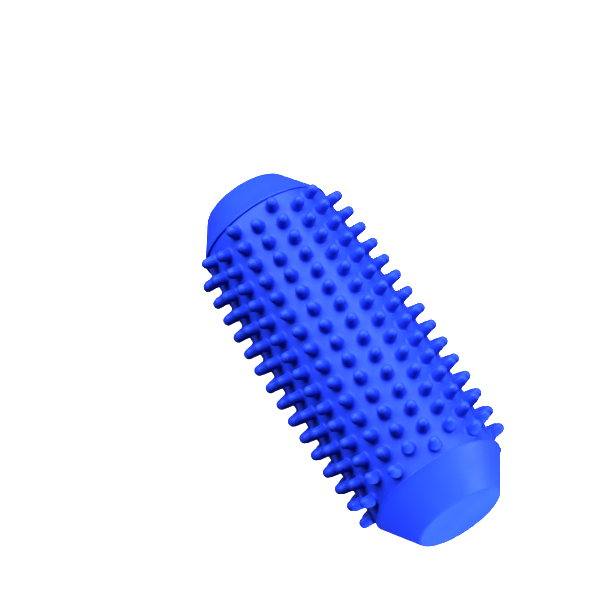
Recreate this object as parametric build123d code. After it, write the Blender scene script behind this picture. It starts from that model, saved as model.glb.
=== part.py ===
from build123d import *
import math
import os

# Spiked laundry roller, lying on its side. Millimetres, +Z up.
# The roller's axis runs along X. The origin is on the surface it lies on, under its middle.
# +X is the end with the air plug, -X is the plain end.

# --- driving dimensions -------------------------------------------------------------------
BARREL_R = 27.5          # outer radius of the barrel at its middle, without the nubs
BARREL_LEN = 120.0       # rim to rim
CROWN = 1.6              # how much smaller the barrel's radius is at its rims
WALL = 2.5               # moulded wall thickness

CAP_LEN = 15.5           # height of each truncated cone
END_DISC_R = 17.0        # radius of the round end face
END_DOME = 1.5           # the end with the plug bulges outwards by this much
RIM_LIP = 0.6            # the cap's rim stands this proud of the barrel
RIM_ROUND = 0.4          # rounding of the cap's rim
DISC_ROUND = 1.5         # rounding between the cone and the end face

COLUMNS = 20             # columns of nubs around the barrel, staggered by half a pitch
LONG_COLUMN = 15         # nubs in every second column; the columns between have one fewer
PITCH = 8.0              # spacing of the nubs along a column
NUB_HEIGHT = 5.6         # from the barrel's surface to the nub's tip
NUB_FOOT_R = 2.35        # nub radius at the barrel's surface
NUB_TIP_R = 1.95         # radius of the rounded tip
NUB_ROOT = 1.0           # how deep the nub's solid is sunk into the wall

COLLAR_LEN = 6.0         # the cap's collar sits this deep inside the barrel
COLLAR_WALL = 2.0
JOINT_GAP = 0.05         # radial gap between the collar and the barrel

AIR_HOLE_R = 1.5         # hole in the middle of one end face
PLUG_SINK = 0.5          # the plug's rounded top lies this far below the end face
PLUG_TOP_RISE = 0.3      # height of the plug's rounded top
PLUG_LEN = 6.5           # length of the whole plug
PLUG_BARB_R = 2.0        # the barb that holds the plug behind the wall

# --- worked out from them -----------------------------------------------------------------
HALF_BARREL = BARREL_LEN / 2
RIM_R = BARREL_R - CROWN
BORE_R = RIM_R - WALL
LIP_R = RIM_R + RIM_LIP
STEP_ANGLE = 360 / COLUMNS
# The roller rests on two neighbouring columns, each half a step from straight down.
TIP_CENTRE_R = BARREL_R + NUB_HEIGHT - NUB_TIP_R
AXIS_Z = TIP_CENTRE_R * math.cos(math.radians(STEP_ANGLE / 2)) + NUB_TIP_R
# The bulging end makes the roller longer on one side, so its middle is moved to the origin.
MIDDLE_SHIFT = -END_DOME / 2


def cap_radius(width, height):
    """Radius of the arc that rises by height over the half width."""
    return (width**2 + height**2) / (2 * height)


def to_row_frame(shape):
    """Turn a shape modelled about the Z axis so that its axis lies along X, above the floor."""
    return Pos(MIDDLE_SHIFT, 0, AXIS_Z) * Rot(0, 90, 0) * shape


def barrel_radius(z):
    """Radius of the crowned barrel at a distance z from its middle."""
    crown_r = cap_radius(HALF_BARREL, CROWN)
    return math.sqrt(crown_r**2 - z**2) - (crown_r - BARREL_R)


def turned(outline):
    """Solid of revolution about Z from a closed outline in the XZ plane."""
    return revolve(make_face(Plane.XZ * outline), Axis.Z)


def nub_solid():
    """One nub standing on the XY plane: a slender cone with a rounded tip."""
    shoulder = NUB_HEIGHT - NUB_TIP_R
    flank = Line((NUB_FOOT_R, 0), (NUB_TIP_R, shoulder))
    tip = RadiusArc(flank @ 1, (0, NUB_HEIGHT), -NUB_TIP_R)
    root = Polyline((0, NUB_HEIGHT), (0, -NUB_ROOT), (NUB_FOOT_R, -NUB_ROOT), flank @ 0)
    return turned(flank + tip + root)


def column_places(index):
    """Distances from the barrel's middle of the nubs in one column."""
    count = LONG_COLUMN - index % 2
    return [(i - (count - 1) / 2) * PITCH for i in range(count)]


def nub_locations():
    """Where every nub stands, its own Z pointing straight out of the barrel."""
    places = []
    for column in range(COLUMNS):
        angle = (column - 0.5) * STEP_ANGLE
        for z in column_places(column):
            places.append(Rot(0, 0, angle) * Pos(barrel_radius(z), 0, z) * Rot(0, 90, 0))
    return places


def spiked_barrel():
    """Open sleeve with a crowned outside and its nubs moulded in one with it."""
    top = (RIM_R, HALF_BARREL)
    bottom = (RIM_R, -HALF_BARREL)
    outside = RadiusArc(bottom, top, -cap_radius(HALF_BARREL, CROWN))
    bore = Polyline(top, (BORE_R, HALF_BARREL), (BORE_R, -HALF_BARREL), bottom)
    nub = nub_solid()
    return turned(outside + bore).fuse(*[place * nub for place in nub_locations()])


def cone_skin(disc_r, height, rim_r):
    """Solid truncated cone from z = 0, with its end face's edge and its rim rounded."""
    cone = turned(Polyline((0, height), (disc_r, height), (rim_r, 0), (0, 0), close=True))
    rim, disc_edge = cone.edges().filter_by(GeomType.CIRCLE).sort_by(Axis.Z)
    cone = fillet(disc_edge, DISC_ROUND)
    return fillet(cone.edges().filter_by(GeomType.CIRCLE).sort_by(Axis.Z)[0], RIM_ROUND)


def cap_room():
    """The air space inside a cap: one wall thickness inside its cone and its collar."""
    slope = (LIP_R - END_DISC_R) / CAP_LEN
    inner_rim_r = LIP_R - WALL * math.sqrt(1 + slope**2)
    collar_r = BORE_R - JOINT_GAP - COLLAR_WALL
    roof = CAP_LEN - WALL
    neck = (inner_rim_r - collar_r) / slope
    roof_r = inner_rim_r - slope * roof
    corners = [(0, -COLLAR_LEN), (collar_r, -COLLAR_LEN), (collar_r, neck), (roof_r, roof), (0, roof)]
    return turned(Polyline(*corners, close=True))


def plain_end_cap():
    """Hollow truncated cone with a flat end face at +Z and a collar that goes into the barrel."""
    at_rim = (Align.CENTER, Align.CENTER, Align.MAX)
    collar = Cylinder(BORE_R - JOINT_GAP, COLLAR_LEN, align=at_rim)
    return cone_skin(END_DISC_R, CAP_LEN, LIP_R) + collar - cap_room()


def plug_end_cap():
    """The same cap with a bulging end face and the air hole through its middle."""
    dome_r = END_DISC_R - DISC_ROUND
    bulge = RadiusArc((0, END_DOME), (dome_r, 0), cap_radius(dome_r, END_DOME))
    dome = turned(bulge + Polyline((dome_r, 0), (0, 0), (0, END_DOME)))
    hole = Cylinder(AIR_HOLE_R, 4 * WALL)
    return plain_end_cap() + Pos(0, 0, CAP_LEN) * dome - Pos(0, 0, CAP_LEN) * hole


def air_plug():
    """Push-in plug, its rounded top at the end face: a shank, and a barb behind the wall."""
    shank_r = AIR_HOLE_R - JOINT_GAP
    shoulder = END_DOME - PLUG_SINK - PLUG_TOP_RISE
    barb = -WALL - JOINT_GAP
    tail = END_DOME - PLUG_SINK - PLUG_LEN
    crest = (0, shoulder + PLUG_TOP_RISE)
    top = RadiusArc(crest, (shank_r, shoulder), cap_radius(shank_r, PLUG_TOP_RISE))
    shank = [(shank_r, shoulder), (shank_r, barb)]
    point = [(PLUG_BARB_R, barb), (shank_r / 2, tail), (0, tail)]
    return turned(top + Polyline(*shank, *point, crest))


def at_plug_end(shape):
    return to_row_frame(Pos(0, 0, HALF_BARREL) * shape)


def at_plain_end(shape):
    return to_row_frame(Pos(0, 0, -HALF_BARREL) * Rot(180, 0, 0) * shape)


nodes = {
    "spiked_barrel": to_row_frame(spiked_barrel()),
    "plug_end_cap": at_plug_end(plug_end_cap()),
    "plain_end_cap": at_plain_end(plain_end_cap()),
    "air_plug": at_plug_end(Pos(0, 0, CAP_LEN) * air_plug()),
}

os.makedirs("parts", exist_ok=True)
for name, shape in nodes.items():
    export_step(shape, f"parts/{name}.step")
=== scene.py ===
import math

import bmesh
import bpy
import numpy as np
from mathutils import Matrix, Vector


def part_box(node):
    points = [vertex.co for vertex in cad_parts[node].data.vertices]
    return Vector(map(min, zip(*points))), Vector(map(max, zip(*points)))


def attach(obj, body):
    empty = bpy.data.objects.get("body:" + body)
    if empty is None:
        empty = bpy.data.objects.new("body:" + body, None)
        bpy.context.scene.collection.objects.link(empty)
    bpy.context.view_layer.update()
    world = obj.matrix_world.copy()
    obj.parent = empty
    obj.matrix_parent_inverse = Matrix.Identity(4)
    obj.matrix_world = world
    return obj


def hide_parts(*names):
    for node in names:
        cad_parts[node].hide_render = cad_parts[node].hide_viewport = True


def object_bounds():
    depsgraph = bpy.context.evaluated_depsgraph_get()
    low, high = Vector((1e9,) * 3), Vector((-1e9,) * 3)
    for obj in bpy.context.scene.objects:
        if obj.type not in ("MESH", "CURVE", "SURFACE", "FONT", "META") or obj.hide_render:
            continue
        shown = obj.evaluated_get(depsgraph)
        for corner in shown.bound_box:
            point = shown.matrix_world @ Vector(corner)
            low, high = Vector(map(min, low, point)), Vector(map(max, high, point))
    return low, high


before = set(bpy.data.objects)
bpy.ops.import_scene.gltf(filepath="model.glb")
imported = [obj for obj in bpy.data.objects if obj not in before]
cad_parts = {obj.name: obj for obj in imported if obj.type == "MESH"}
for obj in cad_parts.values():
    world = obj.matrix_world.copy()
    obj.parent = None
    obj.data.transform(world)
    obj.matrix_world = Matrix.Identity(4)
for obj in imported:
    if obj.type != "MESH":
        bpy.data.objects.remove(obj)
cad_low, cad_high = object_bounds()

# A soft plastic laundry roller, lying on its side: a barrel covered with rounded nubs, a blunt
# cone at each end, and an air plug in the middle of the +X end. Metres, row frame.

MM = 0.001
SEED = 7                    # for the small differences between the nubs
MERGE_DISTANCE = 0.002 * MM

# --- places read from the frame -------------------------------------------------------------
BARREL_LOW, BARREL_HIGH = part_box("spiked_barrel")
PLAIN_LOW, PLAIN_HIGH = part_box("plain_end_cap")
PLUG_LOW, PLUG_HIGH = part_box("air_plug")
AXIS = Vector(((BARREL_LOW.x + BARREL_HIGH.x) / 2, 0, (BARREL_LOW.z + BARREL_HIGH.z) / 2))
HALF_BARREL = (BARREL_HIGH.x - BARREL_LOW.x) / 2
CAP_LEN = BARREL_LOW.x - PLAIN_LOW.x
COLLAR_LEN = PLAIN_HIGH.x - BARREL_LOW.x
END_DOME = (cad_high.x - BARREL_HIGH.x) - CAP_LEN

# --- sizes of the moulding, the CAD model's but for softer nubs and rims --------------------
BARREL_R = 27.5 * MM        # at the middle, without the nubs
RIM_R = 25.9 * MM           # at its rims
LIP_R = 26.5 * MM           # the caps' rims stand proud of the barrel
WALL = 2.5 * MM
COLLAR_WALL = 2.0 * MM
END_DISC_R = 17.0 * MM      # the cone's small end
RIM_ROUND = 0.5 * MM
DISC_ROUND = 1.5 * MM
AIR_HOLE_R = 1.5 * MM
PLUG_GAP = 0.06 * MM        # between the plug's shank and its hole
PLUG_TOP_RISE = 0.35 * MM
BARB_GAP = 0.05 * MM        # between the plug's barb and the wall it hooks behind
BARB_CHAMFER = 0.4 * MM
BARB_TAIL = 0.9             # of the barb's radius, behind its chamfer

COLUMNS = 20                # columns of nubs round the barrel
LONG_COLUMN = 15            # nubs in every second column; the columns between have one fewer
PITCH = 8.0 * MM
NUB_HEIGHT = 5.57 * MM
NUB_FOOT_R = 2.35 * MM      # where the flank meets the root fillet
NUB_SHOULDER_R = 2.08 * MM  # where the tip's rounding starts
NUB_ROOT_FILLET = 0.85 * MM
NUB_TIP_LEN = 2.1 * MM
TIP_SQUARENESS = 2.1        # 2 is a round tip; more is flatter on top
NUB_LEAN = 1.1              # degrees, the usual tilt of a nub
NUB_SHORTFALL = 0.012       # the usual part of its height that a nub lacks

# --- fineness of the meshes -----------------------------------------------------------------
SIDE_STEPS = 6              # along each side of a nub's own patch of barrel
LATHE_STEPS = COLUMNS * SIDE_STEPS
BORDER_RINGS = (1.0, 0.5)   # places between a nub's root, 0, and its patch's border, 1
ROOT_RINGS = 5
FLANK_RINGS = (0.5, 1.0)    # places up the straight part of a nub's flank
TIP_RINGS = (24, 45, 63, 78)  # degrees up a nub's tip
RIM_POINTS = 5              # on a cap's rounded rim
DISC_EDGE_POINTS = 7        # on the rounded edge of its end disc
DISC_EDGE_END = 88          # degrees; that edge stops just short of level
CONE_STEPS = 9
DISC_STEPS = 8
PLUG_STEPS = 32
PLUG_TOP_RINGS = (30, 60, 90)  # degrees down the plug's rounded top

# --- looks ----------------------------------------------------------------------------------
NOISE_RANGE = (0.3, 0.7)    # where most of a noise's values lie
BLUE = ((0.0100, 0.026, 0.28), (0.0118, 0.030, 0.33))   # darkest and lightest
PLUG_BLUE = ((0.005, 0.014, 0.18), (0.006, 0.017, 0.22))
PAPER = ((0.80, 0.80, 0.80), (0.84, 0.84, 0.84))
PAPER_GLOW = 0.45


# --- mesh helpers ---------------------------------------------------------------------------
def make_mesh(name, points, faces, sharp_angle):
    """A smooth-shaded mesh object with doubled points merged."""
    mesh = bpy.data.meshes.new(name)
    mesh.from_pydata([tuple(p) for p in points], [], faces)
    piece = bpy.data.objects.new(name, mesh)
    bpy.context.scene.collection.objects.link(piece)
    merge_doubles(mesh)
    mesh.shade_smooth()
    mesh.set_sharp_from_angle(angle=math.radians(sharp_angle))
    return piece


def merge_doubles(mesh):
    """Merge points that coincide, and turn every face outwards."""
    edit = bmesh.new()
    edit.from_mesh(mesh)
    bmesh.ops.remove_doubles(edit, verts=edit.verts, dist=MERGE_DISTANCE)
    bmesh.ops.recalc_face_normals(edit, faces=edit.faces)
    edit.to_mesh(mesh)
    edit.free()


def around(angle, radius, along):
    """Points round the roller's axis; the angle runs from straight down towards +Y."""
    angle, radius, along = np.broadcast_arrays(angle, radius, along)
    places = [AXIS.x + along, AXIS.y + radius * np.sin(angle), AXIS.z - radius * np.cos(angle)]
    return np.stack(places, axis=-1)


def arc(centre, radius, start, end, count):
    """Points on an arc in the (radius, along) plane, angles in degrees."""
    turns = np.radians(np.linspace(start, end, count))
    return [(centre[0] + radius * math.cos(t), centre[1] + radius * math.sin(t)) for t in turns]


def lathe_faces(rings, steps):
    """Quads between neighbouring rings of a turned shape, whose points are stored ring by ring."""
    faces = []
    for ring in range(rings - 1):
        this, following = ring * steps, (ring + 1) * steps
        for i in range(steps):
            j = (i + 1) % steps
            faces.append((this + i, this + j, following + j, following + i))
    return faces


# --- barrel ---------------------------------------------------------------------------------
def barrel_radius(along):
    """Outer radius of the crowned barrel."""
    crown = BARREL_R - RIM_R
    crown_r = (HALF_BARREL**2 + crown**2) / (2 * crown)
    return np.sqrt(crown_r**2 - np.asarray(along)**2) - (crown_r - BARREL_R)


def nub_places():
    """Angle and distance along the barrel of every nub: long and short columns in turn."""
    places = []
    for column in range(COLUMNS):
        count = LONG_COLUMN - column % 2
        angle = math.tau * (column - 0.5) / COLUMNS
        places += [(angle, (i - (count - 1) / 2) * PITCH) for i in range(count)]
    return np.array(places)


def patch_border():
    """Border of the patch of barrel round one nub: offsets round and along the barrel."""
    half_round = math.tau * BARREL_R / COLUMNS / 2
    half_along = PITCH / 2
    steps = np.linspace(-1, 1, SIDE_STEPS + 1)[:-1]
    ones = np.ones(SIDE_STEPS)
    u = np.concatenate([steps, ones, -steps, -ones]) * half_round
    v = np.concatenate([-ones, steps, ones, -steps]) * half_along
    return u, v


def nub_rings():
    """Radius, height and straightness of each ring of a nub, from its root to its tip."""
    rings = []
    for turn in np.linspace(0, math.pi / 2, ROOT_RINGS):
        radius = NUB_FOOT_R + NUB_ROOT_FILLET * (1 - math.sin(turn))
        height = NUB_ROOT_FILLET * (1 - math.cos(turn))
        rings.append((radius, height, turn / (math.pi / 2)))
    shoulder = NUB_HEIGHT - NUB_TIP_LEN
    for t in FLANK_RINGS:
        radius = NUB_FOOT_R + (NUB_SHOULDER_R - NUB_FOOT_R) * t
        height = NUB_ROOT_FILLET + (shoulder - NUB_ROOT_FILLET) * t
        rings.append((radius, height, 1.0))
    power = 2 / TIP_SQUARENESS
    for turn in np.radians(TIP_RINGS):
        radius = NUB_SHOULDER_R * math.cos(turn)**power
        height = shoulder + NUB_TIP_LEN * math.sin(turn)**power
        rings.append((radius, height, 1.0))
    return rings


def patch_rows():
    """Every row of a nub's patch, from its border to its tip: offsets, height and straightness."""
    u, v = patch_border()
    bearing = np.arctan2(v, u)
    across, lengthwise = np.cos(bearing), np.sin(bearing)
    foot_r = NUB_FOOT_R + NUB_ROOT_FILLET
    rows = []
    for t in BORDER_RINGS:
        du = u * t + foot_r * across * (1 - t)
        dv = v * t + foot_r * lengthwise * (1 - t)
        rows.append((du, dv, 0, 0))
    rows += [(r * across, r * lengthwise, height, straight) for r, height, straight in nub_rings()]
    rows.append((np.zeros(1), np.zeros(1), NUB_HEIGHT, 1.0))
    return rows


def nub_points(places, random):
    """Points of every nub's patch, row by row; straightness 0 follows the barrel, 1 the nub."""
    angle, along = places[:, 0:1], places[:, 1:2]
    lean = np.radians(random.normal(0, NUB_LEAN, (len(places), 2)))
    short = 1 - np.abs(random.normal(0, NUB_SHORTFALL, (len(places), 1)))
    base = around(angle, barrel_radius(along), along)
    outwards = around(angle, 1.0, 0 * along) - around(angle, 0.0, 0 * along)
    sideways = around(angle + math.pi / 2, 1.0, 0 * along) - around(angle, 0.0, 0 * along)
    lengthways = np.array([1.0, 0, 0])
    stand = outwards + sideways * lean[:, None, 0:1] + lengthways * lean[:, None, 1:2]
    rows = patch_rows()
    points = []
    for du, dv, height, straight in rows:
        local_angle = angle + du / BARREL_R
        wrapped = around(local_angle, barrel_radius(along + dv), along + dv)
        level = base + sideways * du[None, :, None] + lengthways * dv[None, :, None]
        place = wrapped * (1 - straight) + level * straight
        points.append(place + stand * height * short[:, :, None])
    return np.concatenate(points, axis=1), len(rows)


def nub_faces(nubs, rows):
    """Faces of every nub's patch: quads between its rings and a fan at its tip."""
    steps = 4 * SIDE_STEPS
    per_nub = (rows - 1) * steps + 1
    one = lathe_faces(rows - 1, steps)
    last = (rows - 2) * steps
    one += [(last + i, last + (i + 1) % steps, per_nub - 1) for i in range(steps)]
    return [tuple(n * per_nub + i for i in face) for n in range(nubs) for face in one]


def band_patches():
    """The strip of bare barrel between each short column's last nub and the rim."""
    points, faces = [], []
    rows = SIDE_STEPS // 2 + 1
    width = SIDE_STEPS + 1
    for column in range(1, COLUMNS, 2):
        middle = math.tau * (column - 0.5) / COLUMNS
        angles = middle + np.linspace(-0.5, 0.5, width) * math.tau / COLUMNS
        for end in (-1, 1):
            first = len(points)
            for along in end * np.linspace(HALF_BARREL - PITCH / 2, HALF_BARREL, rows):
                points += list(around(angles, barrel_radius(along), along))
            for row in range(rows - 1):
                for i in range(SIDE_STEPS):
                    corner = first + row * width + i
                    faces.append((corner, corner + 1, corner + width + 1, corner + width))
    return points, faces


def bore_patches():
    """The barrel's two end faces and its bore."""
    bore_r = RIM_R - WALL
    outline = [(RIM_R, -HALF_BARREL), (bore_r, -HALF_BARREL)]
    outline += [(bore_r, HALF_BARREL), (RIM_R, HALF_BARREL)]
    angles = (np.arange(LATHE_STEPS) / SIDE_STEPS - 1) * math.tau / COLUMNS
    points = [p for radius, along in outline for p in around(angles, radius, along)]
    return points, lathe_faces(len(outline), LATHE_STEPS)


def make_barrel():
    """The barrel with its nubs moulded in one with it, each nub on its own patch of the surface."""
    random = np.random.default_rng(SEED)
    places = nub_places()
    nubs, rows = nub_points(places, random)
    points = list(nubs.reshape(-1, 3))
    faces = nub_faces(len(places), rows)
    for more_points, more_faces in (band_patches(), bore_patches()):
        first = len(points)
        points += more_points
        faces += [tuple(i + first for i in face) for face in more_faces]
    return make_mesh("spiked_barrel_skin", points, faces, sharp_angle=60)


# --- end caps -------------------------------------------------------------------------------
def cap_outline(dome, hole_r):
    """Outline of a cap from inside its roof, round its collar and cone, to its end face."""
    slope = (LIP_R - END_DISC_R) / CAP_LEN
    lean = math.degrees(math.atan(slope))
    collar_r = RIM_R - WALL
    room_r = collar_r - COLLAR_WALL
    inner_rim_r = LIP_R - WALL * math.hypot(1, slope)
    neck = (inner_rim_r - room_r) / slope
    roof = CAP_LEN - WALL
    outline = [(inner_rim_r - slope * roof, roof), (room_r, neck), (room_r, -COLLAR_LEN)]
    outline += [(collar_r, -COLLAR_LEN), (collar_r, 0)]
    outline += arc((LIP_R - RIM_ROUND, RIM_ROUND), RIM_ROUND, -90, lean, RIM_POINTS)
    edge = math.radians(90 - lean)
    setback = DISC_ROUND * math.tan(edge / 2)
    round_centre = (END_DISC_R - setback, CAP_LEN - DISC_ROUND)
    flank_end = arc(round_centre, DISC_ROUND, lean, lean, 1)[0]
    flank_start = outline[-1]
    for t in np.linspace(0, 1, CONE_STEPS + 1)[1:-1]:
        outline.append(tuple(a + (b - a) * t for a, b in zip(flank_start, flank_end)))
    outline += arc(round_centre, DISC_ROUND, lean, DISC_EDGE_END, DISC_EDGE_POINTS)
    for t in np.linspace(1, 0, DISC_STEPS + 1)[1:]:
        radius = hole_r + (round_centre[0] - hole_r) * t
        outline.append((radius, CAP_LEN + dome * (1 - (radius / round_centre[0])**2)))
    return outline


def make_cap(name, end, dome, hole_r):
    """A hollow truncated cone with a collar; end is +1 or -1, the way its face points along X.

    With a hole its outline closes through the hole; without one a flat face closes the inside.
    """
    outline = cap_outline(dome, hole_r)
    angles = np.arange(LATHE_STEPS) * math.tau / LATHE_STEPS
    if hole_r:
        outline.append((hole_r, CAP_LEN - WALL))
        outline.append(outline[0])
    rows = [around(angles, radius, end * (HALF_BARREL + along)) for radius, along in outline]
    points = [p for row in rows for p in row]
    faces = lathe_faces(len(rows), LATHE_STEPS)
    if not hole_r:
        faces.append(tuple(range(LATHE_STEPS)))
    return make_mesh(name, points, faces, sharp_angle=40)


def make_plug():
    """The air plug: a round-topped shank, sunk a little in its hole, and a barb behind the wall."""
    top = PLUG_HIGH.x - AXIS.x
    tail = PLUG_LOW.x - AXIS.x
    barb_r = (PLUG_HIGH.y - PLUG_LOW.y) / 2
    shank_r = AIR_HOLE_R - PLUG_GAP
    barb = HALF_BARREL + CAP_LEN - WALL - BARB_GAP
    outline = [(0, top)]
    for turn in np.radians(PLUG_TOP_RINGS):
        outline.append((shank_r * math.sin(turn), top - PLUG_TOP_RISE * (1 - math.cos(turn))))
    outline += [(shank_r, barb), (barb_r, barb), (barb_r * BARB_TAIL, barb - BARB_CHAMFER)]
    outline += [(shank_r / 2, tail), (0, tail)]
    angles = np.arange(PLUG_STEPS) * math.tau / PLUG_STEPS
    points = [p for radius, along in outline for p in around(angles, radius, along)]
    faces = lathe_faces(len(outline), PLUG_STEPS)
    return make_mesh("air_plug_skin", points, faces, sharp_angle=40)


# --- materials ------------------------------------------------------------------------------
def link(tree, source, socket, target, into):
    """Join one node's output to another node's input."""
    tree.links.new(source.outputs[socket], target.inputs[into])


def noise(tree, coordinates, scale, detail):
    """Noise over the object's own coordinates."""
    node = tree.nodes.new("ShaderNodeTexNoise")
    node.inputs["Scale"].default_value = scale
    node.inputs["Detail"].default_value = detail
    link(tree, coordinates, "Object", node, "Vector")
    return node


def ramp(tree, source, colours):
    """Colours between a darkest and a lightest, picked by a noise."""
    node = tree.nodes.new("ShaderNodeValToRGB")
    for element, position, colour in zip(node.color_ramp.elements, NOISE_RANGE, colours):
        element.position = position
        element.color = (*colour, 1)
    link(tree, source, "Fac", node, "Fac")
    return node


def spread(tree, source, low, high):
    """A value between low and high, picked by a noise."""
    node = tree.nodes.new("ShaderNodeMapRange")
    node.inputs["From Min"].default_value = NOISE_RANGE[0]
    node.inputs["From Max"].default_value = NOISE_RANGE[1]
    node.inputs["To Min"].default_value = low
    node.inputs["To Max"].default_value = high
    link(tree, source, "Fac", node, "Value")
    return node


def bump(tree, source, strength, distance, under=None):
    """Relief from a noise, on top of another bump if one is given."""
    node = tree.nodes.new("ShaderNodeBump")
    node.inputs["Strength"].default_value = strength
    node.inputs["Distance"].default_value = distance
    link(tree, source, "Fac", node, "Height")
    if under:
        link(tree, under, "Normal", node, "Normal")
    return node


def soft_pvc(name, colours):
    """Soft PVC: a satin skin with faint flow marks and a fine pebbled surface."""
    material = bpy.data.materials.new(name)
    material.use_nodes = True
    tree = material.node_tree
    shader = tree.nodes["Principled BSDF"]
    coordinates = tree.nodes.new("ShaderNodeTexCoord")
    clouds = noise(tree, coordinates, scale=55, detail=4)
    link(tree, ramp(tree, clouds, colours), "Color", shader, "Base Color")
    patches = noise(tree, coordinates, scale=170, detail=3)
    link(tree, spread(tree, patches, low=0.40, high=0.50), "Result", shader, "Roughness")
    swirls = noise(tree, coordinates, scale=140, detail=2)
    flow = bump(tree, swirls, strength=0.12, distance=0.25 * MM)
    specks = noise(tree, coordinates, scale=1500, detail=2)
    pebbles = bump(tree, specks, strength=0.22, distance=0.06 * MM, under=flow)
    link(tree, pebbles, "Normal", shader, "Normal")
    shader.inputs["IOR"].default_value = 1.35
    shader.inputs["Specular IOR Level"].default_value = 0.3
    shader.inputs["Specular Tint"].default_value = (0.4, 0.65, 1.0, 1)
    return material


def pale_floor():
    """Pale paper, with a little light of its own so that the roller's shadow stays faint."""
    material = bpy.data.materials.new("pale_floor")
    material.use_nodes = True
    tree = material.node_tree
    shader = tree.nodes["Principled BSDF"]
    coordinates = tree.nodes.new("ShaderNodeTexCoord")
    grain = noise(tree, coordinates, scale=4, detail=3)
    link(tree, ramp(tree, grain, PAPER), "Color", shader, "Base Color")
    shader.inputs["Roughness"].default_value = 0.9
    shader.inputs["Emission Color"].default_value = (1, 1, 1, 1)
    shader.inputs["Emission Strength"].default_value = PAPER_GLOW
    return material


def backdrop_white():
    """A plain white glow."""
    material = bpy.data.materials.new("backdrop_white")
    material.use_nodes = True
    tree = material.node_tree
    tree.nodes.remove(tree.nodes["Principled BSDF"])
    glow = tree.nodes.new("ShaderNodeEmission")
    glow.inputs["Strength"].default_value = 1.0
    link(tree, glow, "Emission", tree.nodes["Material Output"], "Surface")
    return material


# --- studio ---------------------------------------------------------------------------------
CAMERA_AZIMUTH = 226.4      # degrees, 0 looks along +Y
CAMERA_ELEVATION = 57.1
CAMERA_ROLL = 14.5          # the row's up leans this far clockwise in the picture
CAMERA_DISTANCE = 1.104
CAMERA_LENS = 180.2
PICTURE_OFFSET = (0.01855, -0.02065)   # of the roller's middle, to the right and up

FLOOR_R = 6.0
FLOOR_STEPS = 96
BACKDROP_R = 7.0
BACKDROP_FOOT = -10         # degrees; its lowest ring lies below the horizon
BACKDROP_STEPS = 64
BACKDROP_RINGS = 15

# Soft lamps: name, direction in the picture (right, up, towards the camera), strength, and
# spread in degrees.
LAMPS = [
    ("key_softbox", (0.05, 0.90, 0.50), 9.0, 58),
    ("right_softbox", (1.0, 0.25, 0.35), 5.0, 45),
    ("left_softbox", (-0.75, 0.55, 0.50), 6.2, 45),
]
END_LAMP_GAP = 0.12         # between the plain end and a small lamp in line with the roller
END_LAMP_SIZE = 0.03
END_LAMP_POWER = 0.86
AMBIENT = 0.12


def camera_axes():
    """Right, up and backward directions of the camera."""
    azimuth, elevation = math.radians(CAMERA_AZIMUTH), math.radians(CAMERA_ELEVATION)
    level = math.cos(elevation)
    back = Vector((math.sin(azimuth) * level, -math.cos(azimuth) * level, math.sin(elevation)))
    up = (Vector((0, 0, 1)) - back * back.z).normalized()
    right = up.cross(back)
    roll = math.radians(CAMERA_ROLL)
    rolled_right = right * math.cos(roll) + up * math.sin(roll)
    rolled_up = up * math.cos(roll) - right * math.sin(roll)
    return rolled_right, rolled_up, back


def make_camera():
    """The camera at the photograph's angle, turned about its own axis as the photograph is."""
    right, up, back = camera_axes()
    data = bpy.data.cameras.new("camera")
    data.lens = CAMERA_LENS
    data.clip_start = 0.1
    data.clip_end = 30
    camera = bpy.data.objects.new("camera", data)
    turn = Matrix((right, up, back)).transposed().to_4x4()
    place = AXIS + back * CAMERA_DISTANCE - right * PICTURE_OFFSET[0] - up * PICTURE_OFFSET[1]
    camera.matrix_world = Matrix.Translation(place) @ turn
    bpy.context.scene.collection.objects.link(camera)
    bpy.context.scene.camera = camera


def make_lamp(name, direction, strength, spread_angle):
    """A far soft lamp that shines from the given direction of the picture: right, up, back."""
    right, up, back = camera_axes()
    data = bpy.data.lights.new(name, "SUN")
    data.energy = strength
    data.angle = math.radians(spread_angle)
    lamp = bpy.data.objects.new(name, data)
    towards = right * direction[0] + up * direction[1] + back * direction[2]
    lamp.rotation_mode = "QUATERNION"
    lamp.rotation_quaternion = towards.to_track_quat("Z", "Y")
    bpy.context.scene.collection.objects.link(lamp)


def make_end_lamp():
    """A small softbox that faces the plain end; the rim keeps its light off the barrel."""
    data = bpy.data.lights.new("end_softbox", "AREA")
    data.shape = "DISK"
    data.size = END_LAMP_SIZE
    data.energy = END_LAMP_POWER
    lamp = bpy.data.objects.new("end_softbox", data)
    lamp.location = (cad_low.x - END_LAMP_GAP, AXIS.y, AXIS.z)
    lamp.rotation_mode = "QUATERNION"
    lamp.rotation_quaternion = Vector((-1, 0, 0)).to_track_quat("Z", "Y")
    lamp.visible_glossy = False
    lamp.visible_camera = False
    bpy.context.scene.collection.objects.link(lamp)


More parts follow.
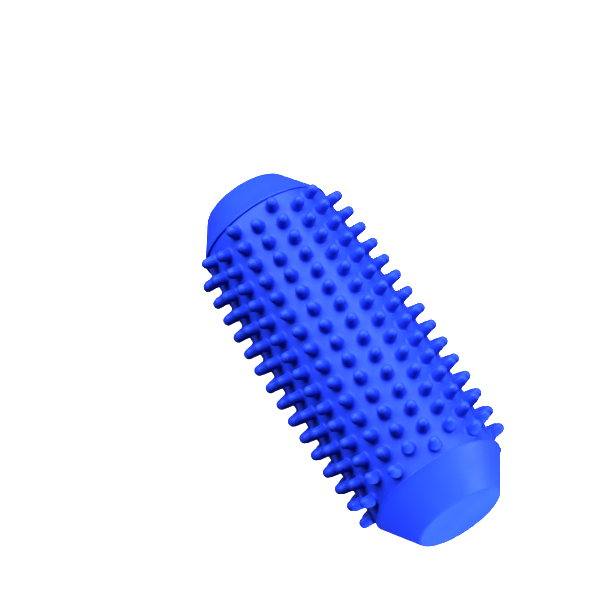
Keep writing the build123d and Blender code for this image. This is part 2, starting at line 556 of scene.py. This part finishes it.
def make_floor():
    """A plain floor that throws no light back up at the roller."""
    angles = np.arange(FLOOR_STEPS) * math.tau / FLOOR_STEPS
    points = [(0, 0, 0)]
    points += [(FLOOR_R * math.cos(angle), FLOOR_R * math.sin(angle), 0) for angle in angles]
    faces = [(0, 1 + i, 1 + (i + 1) % FLOOR_STEPS) for i in range(FLOOR_STEPS)]
    floor = make_mesh("floor", points, faces, sharp_angle=60)
    floor.data.materials.append(pale_floor())
    floor.visible_diffuse = False
    floor.visible_glossy = False


def make_backdrop():
    """A white dome that only the camera sees, so it lights nothing and shades nothing."""
    angles = np.arange(BACKDROP_STEPS) * math.tau / BACKDROP_STEPS
    points = []
    for slope in np.radians(np.linspace(BACKDROP_FOOT, 90, BACKDROP_RINGS)):
        radius, height = BACKDROP_R * math.cos(slope), BACKDROP_R * math.sin(slope)
        points += [(radius * math.cos(angle), radius * math.sin(angle), height) for angle in angles]
    faces = lathe_faces(BACKDROP_RINGS, BACKDROP_STEPS)
    dome = make_mesh("backdrop", points, faces, sharp_angle=60)
    dome.data.materials.append(backdrop_white())
    dome.visible_diffuse = False
    dome.visible_glossy = False
    dome.visible_transmission = False
    dome.visible_shadow = False


def make_world():
    """Even white light from all round."""
    world = bpy.data.worlds.new("studio")
    world.use_nodes = True
    world.node_tree.nodes["Background"].inputs["Color"].default_value = (1, 1, 1, 1)
    world.node_tree.nodes["Background"].inputs["Strength"].default_value = AMBIENT
    bpy.context.scene.world = world


# --- the object -----------------------------------------------------------------------------
blue = soft_pvc("blue_pvc", BLUE)
plug_blue = soft_pvc("plug_pvc", PLUG_BLUE)

made = [
    (make_barrel(), "spiked_barrel", "blue_pvc", blue),
    (make_cap("plain_end_cap_skin", -1, 0.0, 0.0), "plain_end_cap", "blue_pvc", blue),
    (make_cap("plug_end_cap_skin", 1, END_DOME, AIR_HOLE_R), "plug_end_cap", "blue_pvc", blue),
    (make_plug(), "air_plug", "plug_pvc", plug_blue),
]
for piece, node, slot, material in made:
    piece.data.materials.append(material)
    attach(piece, "root")
    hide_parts(node)

make_camera()
make_floor()
make_backdrop()
make_world()
for lamp in LAMPS:
    make_lamp(*lamp)
make_end_lamp()
bpy.context.scene.view_settings.view_transform = "Standard"
bpy.context.scene.view_settings.look = "High Contrast"
